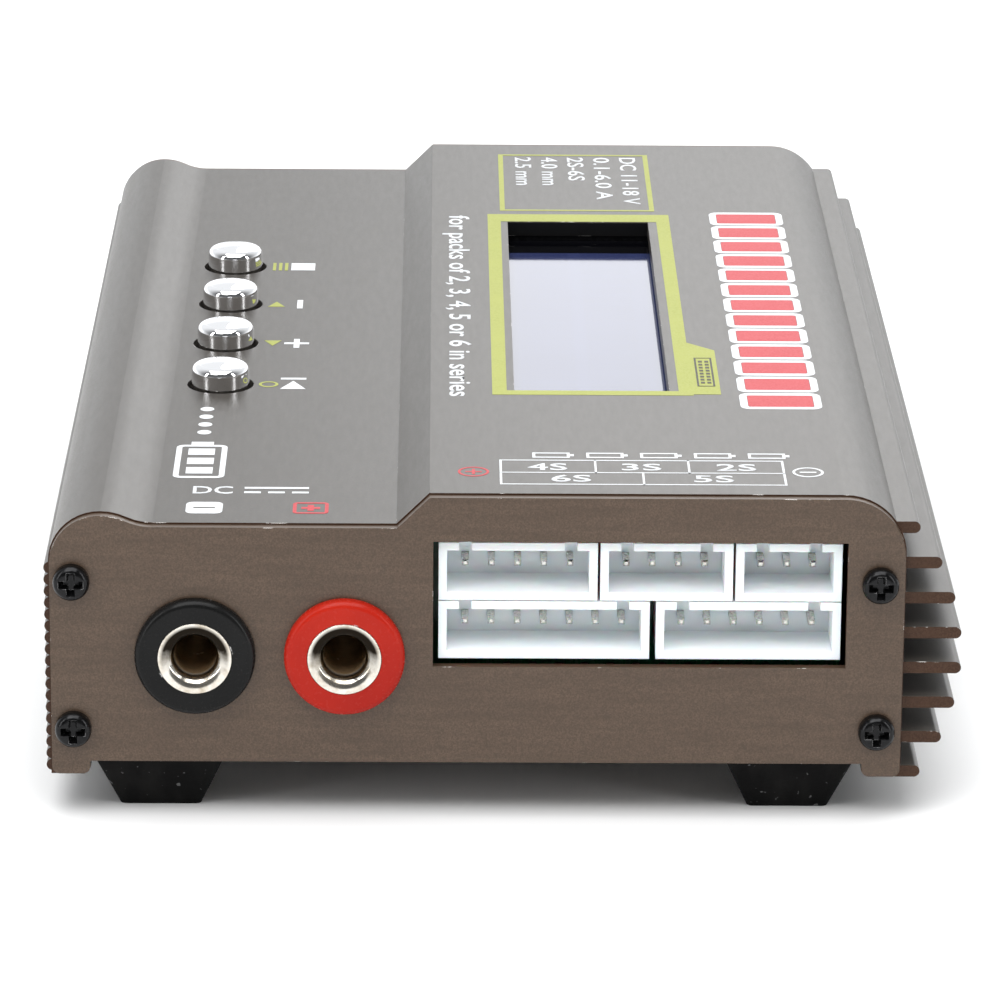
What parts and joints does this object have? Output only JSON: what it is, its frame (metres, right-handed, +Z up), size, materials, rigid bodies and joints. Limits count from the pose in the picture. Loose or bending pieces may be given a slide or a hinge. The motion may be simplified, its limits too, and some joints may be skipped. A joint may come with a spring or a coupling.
{
  "type": "balance battery charger",
  "caption": "Flat aluminium balance charger with side cooling fins, push buttons, a character display, balance sockets and output sockets for 4 mm plugs.",
  "frame": {"origin": "bottom centre of the whole object's box, on the plane that the feet stand on", "axes": "+X across the body towards the cooling fins, +Y from the output end to the power inlet end, +Z up"},
  "size_m": [0.0874, 0.1356, 0.0325],
  "materials": {
    "housing_paint": "satin, fine horizontal grain",
    "cover_paint": "satin",
    "black_steel": "semi-gloss black oxide",
    "foot_rubber": "matte",
    "black_plastic": "semi-gloss",
    "red_plastic": "semi-gloss",
    "nickel": "bright nickel plate",
    "chrome": "polished",
    "white_plastic": "satin moulded nylon",
    "tinned_pin": "tinned",
    "circuit_board": "solder mask",
    "switch_plastic": "matte",
    "steel": "zinc plated",
    "display_glass": "gloss, blue display",
    "light_guide": "matte",
    "copper_wire": "enamelled copper",
    "bare_aluminium": "satin",
    "silicone_pad": "matte"
  },
  "bodies": {
    "housing": {"balance_board": "circuit_board", "balance_header_2_cell": "white_plastic", "balance_header_3_cell": "white_plastic", "balance_header_4_cell": "white_plastic", "balance_header_5_cell": "white_plastic", "balance_header_6_cell": "white_plastic", "balance_link_header": "switch_plastic", "board_nuts": "steel", "board_screws": "black_steel", "board_spacers": "steel", "bottom_cover": "cover_paint", "buzzer": "switch_plastic", "current_shunt": "tinned_pin", "decrease_switch_housing": "switch_plastic", "display_backlight": "light_guide", "display_bezel": "steel", "display_board": "circuit_board", "display_glass": "display_glass", "display_header": "switch_plastic", "display_pillars": "steel", "end_plate_screws": "black_steel", "foot_front_left": "foot_rubber", "foot_front_right": "foot_rubber", "foot_rear_left": "foot_rubber", "foot_rear_right": "foot_rubber", "front_plate": "housing_paint", "heat_spreader": "bare_aluminium", "increase_switch_housing": "switch_plastic", "inductor_core": "switch_plastic", "inductor_winding": "copper_wire", "inner_screws": "steel", "lower_balance_pins": "tinned_pin", "main_board": "circuit_board", "microcontroller": "switch_plastic", "negative_socket_insulator": "black_plastic", "negative_socket_nut": "nickel", "negative_socket_sleeve": "nickel", "positive_socket_insulator": "red_plastic", "positive_socket_nut": "nickel", "positive_socket_sleeve": "nickel", "power_jack_body": "black_plastic", "power_jack_pin": "nickel", "power_transistors": "switch_plastic", "rear_plate": "housing_paint", "sensor_socket_housing": "white_plastic", "sensor_socket_pins": "tinned_pin", "start_switch_housing": "switch_plastic", "stop_switch_housing": "switch_plastic", "storage_capacitors": "bare_aluminium", "thermal_pad": "silicone_pad", "upper_balance_pins": "tinned_pin", "upper_shell": "housing_paint"},
    "start_button": {"start_button_cap": "chrome", "start_switch_stem": "switch_plastic"},
    "increase_button": {"increase_button_cap": "chrome", "increase_switch_stem": "switch_plastic"},
    "decrease_button": {"decrease_button_cap": "chrome", "decrease_switch_stem": "switch_plastic"},
    "stop_button": {"stop_button_cap": "chrome", "stop_switch_stem": "switch_plastic"}
  },
  "joints": [
    {"name": "start_press", "type": "slide", "parent": "housing", "child": "start_button", "axis": [0, 0, 1], "range_m": [-0.0003, 0], "stiffness_N_per_m": 1500},
    {"name": "increase_press", "type": "slide", "parent": "housing", "child": "increase_button", "axis": [0, 0, 1], "range_m": [-0.0003, 0], "stiffness_N_per_m": 1500},
    {"name": "decrease_press", "type": "slide", "parent": "housing", "child": "decrease_button", "axis": [0, 0, 1], "range_m": [-0.0003, 0], "stiffness_N_per_m": 1500},
    {"name": "stop_press", "type": "slide", "parent": "housing", "child": "stop_button", "axis": [0, 0, 1], "range_m": [-0.0003, 0], "stiffness_N_per_m": 1500}
  ]
}
